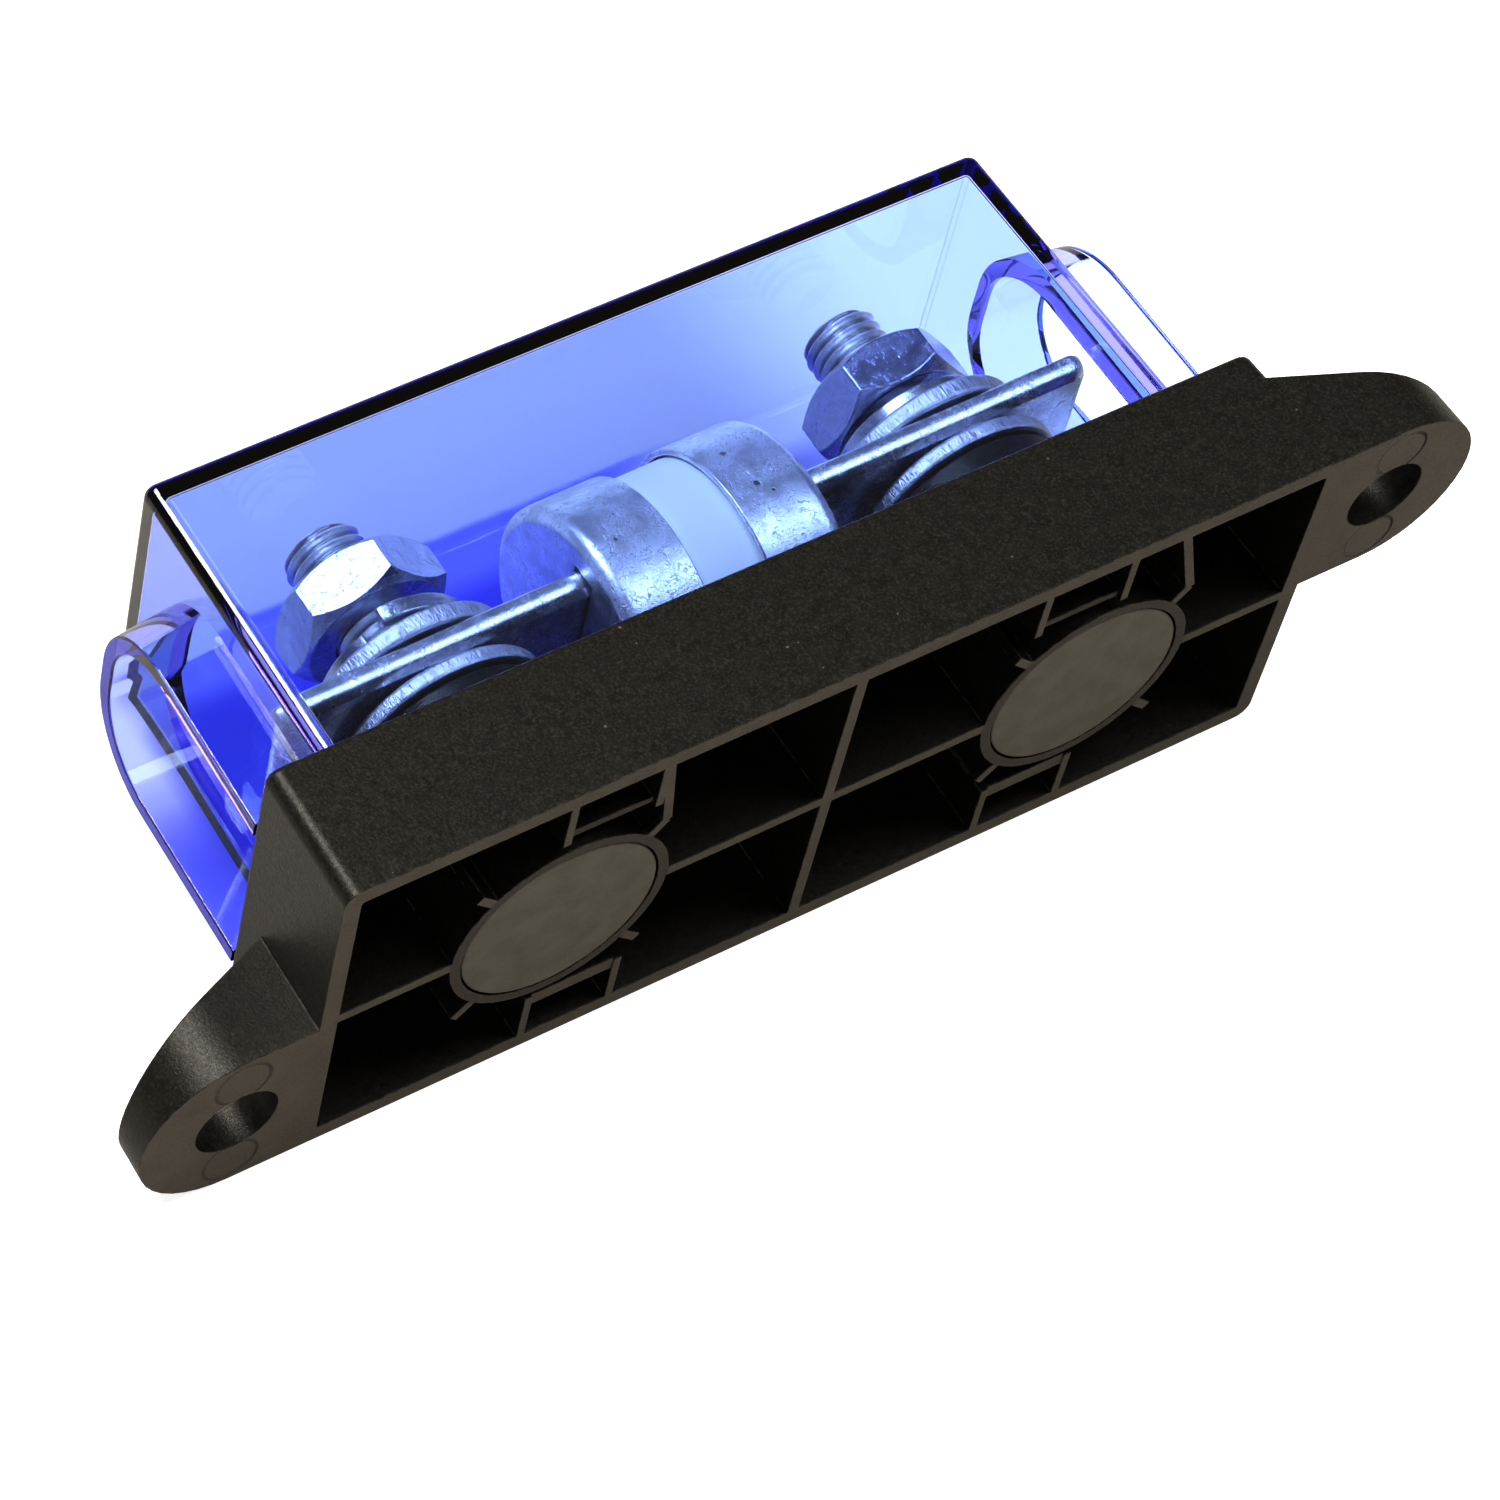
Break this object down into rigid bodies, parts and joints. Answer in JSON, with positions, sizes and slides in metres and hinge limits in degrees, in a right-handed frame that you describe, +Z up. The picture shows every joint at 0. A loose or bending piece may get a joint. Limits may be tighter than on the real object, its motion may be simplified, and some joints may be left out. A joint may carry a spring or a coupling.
{
  "type": "class t fuse block",
  "caption": "Fuse block with a ribbed moulded base, stud terminals, a bolted blade fuse and a clear lift-off cover with a cable hood at each end.",
  "frame": {"origin": "middle of the underside, on the plane that the block stands on", "axes": "+X along the length to the right ear, +Y to the back long wall, +Z up through the studs to the cover"},
  "size_m": [0.1774, 0.0514, 0.061],
  "materials": {
    "base_plastic": "dark fine-grained moulded plastic",
    "plug_plastic": "dark warm grey moulded plastic",
    "stainless_steel": "bright cold-formed steel",
    "tin_plate": "tin plate with fine tooling lines",
    "white_tube": "white fibre tube",
    "silver": "thin silver strip",
    "cover_plastic": "clear blue moulded plastic"
  },
  "bodies": {
    "base": {"base_moulding": "base_plastic", "boss_plug_left": "plug_plastic", "boss_plug_right": "plug_plastic", "terminal_stud_left": "stainless_steel", "terminal_stud_right": "stainless_steel", "contact_washer_left": "tin_plate", "contact_washer_right": "tin_plate", "flat_washer_left": "stainless_steel", "flat_washer_right": "stainless_steel", "lock_washer_left": "stainless_steel", "lock_washer_right": "stainless_steel", "hex_nut_left": "stainless_steel", "hex_nut_right": "stainless_steel", "fuse_tube": "white_tube", "fuse_cap_left": "tin_plate", "fuse_cap_right": "tin_plate", "fuse_blade_left": "tin_plate", "fuse_blade_right": "tin_plate", "fuse_link": "silver"},
    "cover": {"cover": "cover_plastic"}
  },
  "joints": [
    {"name": "cover_lift", "type": "slide", "parent": "base", "child": "cover", "axis": [0, 0, 1], "range_m": [0, 0.06]}
  ]
}
